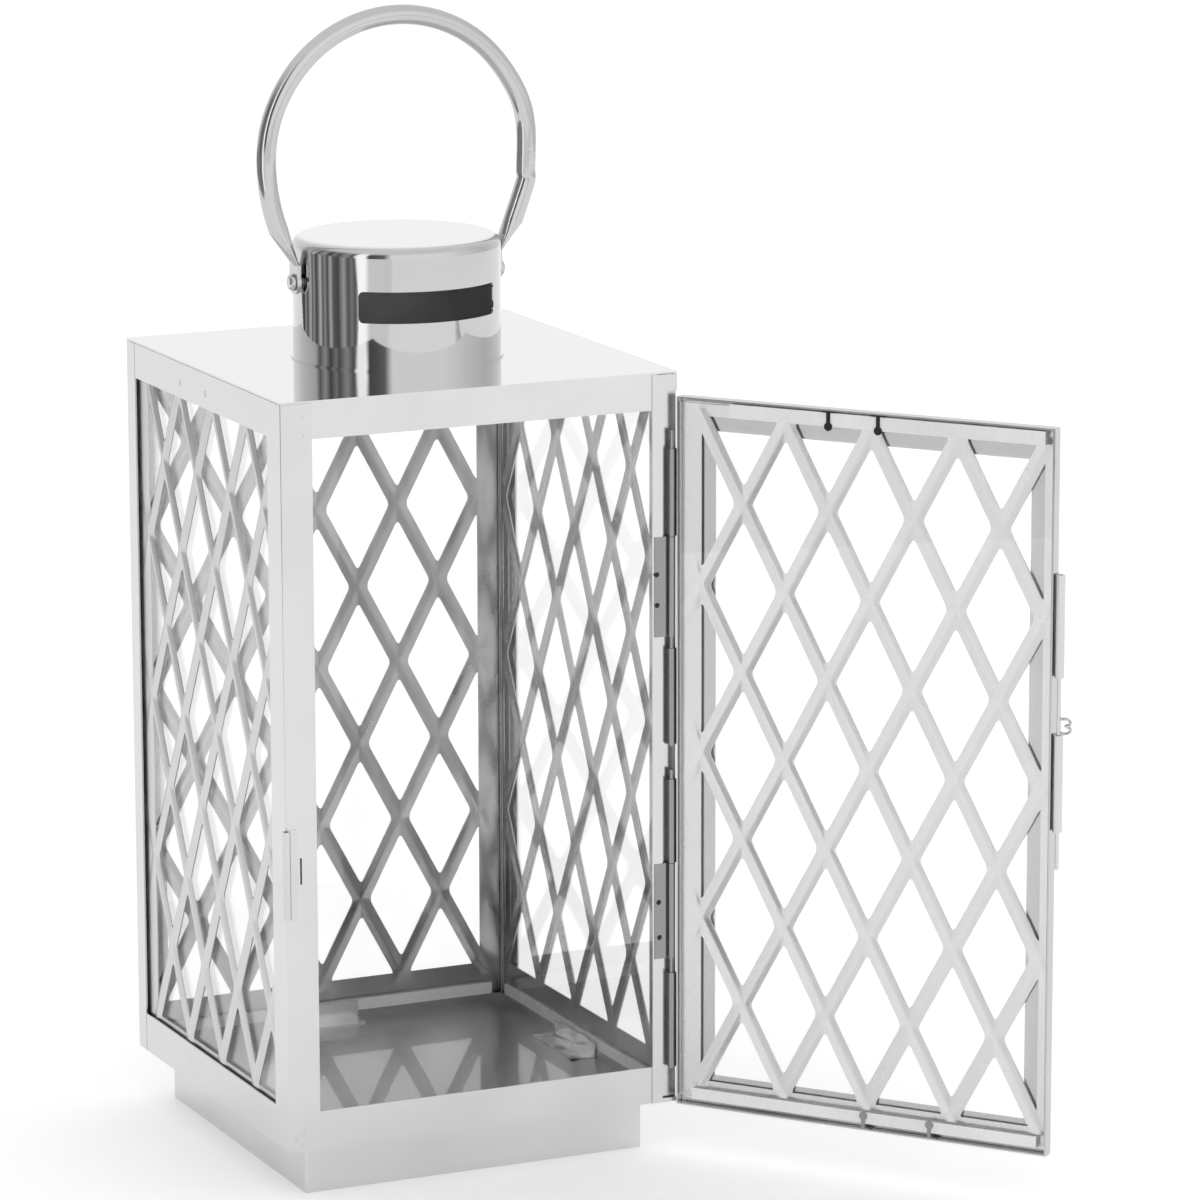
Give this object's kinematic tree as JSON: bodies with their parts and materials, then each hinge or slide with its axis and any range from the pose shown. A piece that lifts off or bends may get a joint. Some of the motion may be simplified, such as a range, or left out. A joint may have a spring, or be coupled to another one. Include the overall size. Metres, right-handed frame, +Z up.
{
  "type": "candle lantern",
  "caption": "Square stainless steel and glass candle lantern with lattice sides, a hinged glazed door with a lift-pin latch, a round vent cap and a bail handle.",
  "frame": {"origin": "centre of the underside of the plinth, the face the lantern stands on", "axes": "+Z up, +X to the right seen from the front, -Y towards the front, where the door is"},
  "size_m": [0.3266, 0.3598, 0.5462],
  "materials": {
    "body_steel": "polished stainless sheet",
    "lattice_steel": "polished pressed stainless sheet",
    "cap_steel": "mirror polished stainless",
    "handle_steel": "polished stainless tube",
    "fitting_steel": "polished stainless",
    "dark_wire": "black wire",
    "clear_glass": "clear float glass with ground edges",
    "pale_channel": "whitish semi-gloss PVC"
  },
  "bodies": {
    "lantern": {"plinth": "body_steel", "floor_tray": "body_steel", "floor_pan": "body_steel", "side_left": "body_steel", "side_right": "body_steel", "back_frame": "body_steel", "roof": "body_steel", "lattice_left": "lattice_steel", "lattice_right": "lattice_steel", "lattice_back": "lattice_steel", "glass_left": "clear_glass", "glass_right": "clear_glass", "glass_back": "clear_glass", "channel_left": "pale_channel", "channel_right": "pale_channel", "channel_back": "pale_channel", "clip_back": "fitting_steel", "clip_right": "fitting_steel", "clip_left": "fitting_steel", "cap_shell": "cap_steel", "handle_rivets": "handle_steel", "hinge_leaf_upper": "fitting_steel", "hinge_leaf_lower": "fitting_steel", "hinge_pin_upper": "fitting_steel", "hinge_pin_lower": "fitting_steel", "hinge_rivets": "fitting_steel", "catch_barrel": "fitting_steel", "catch_staple": "dark_wire"},
    "door": {"door_frame": "body_steel", "door_lattice": "lattice_steel", "door_glass": "clear_glass", "door_channel_top": "pale_channel", "door_channel_bottom": "pale_channel", "door_clips_top": "fitting_steel", "door_clips_bottom": "fitting_steel", "door_knuckles_upper": "fitting_steel", "door_knuckles_lower": "fitting_steel", "latch_sleeve_lower": "fitting_steel", "latch_sleeve_upper": "fitting_steel"},
    "latch": {"latch_pin": "fitting_steel"},
    "handle": {"handle_bail": "handle_steel"}
  },
  "joints": [
    {"name": "door_hinge", "type": "hinge", "parent": "lantern", "child": "door", "pos_m": [0.0965, -0.1006, 0], "axis": [0, 0, 1], "range_deg": [-128.26, 25]},
    {"name": "latch_slide", "type": "slide", "parent": "door", "child": "latch", "axis": [0, 0, 1], "range_m": [0, 0.018]},
    {"name": "handle_pivot", "type": "hinge", "parent": "lantern", "child": "handle", "pos_m": [0, 0, 0.418], "axis": [1, 0, 0], "range_deg": [-105, 105]}
  ]
}
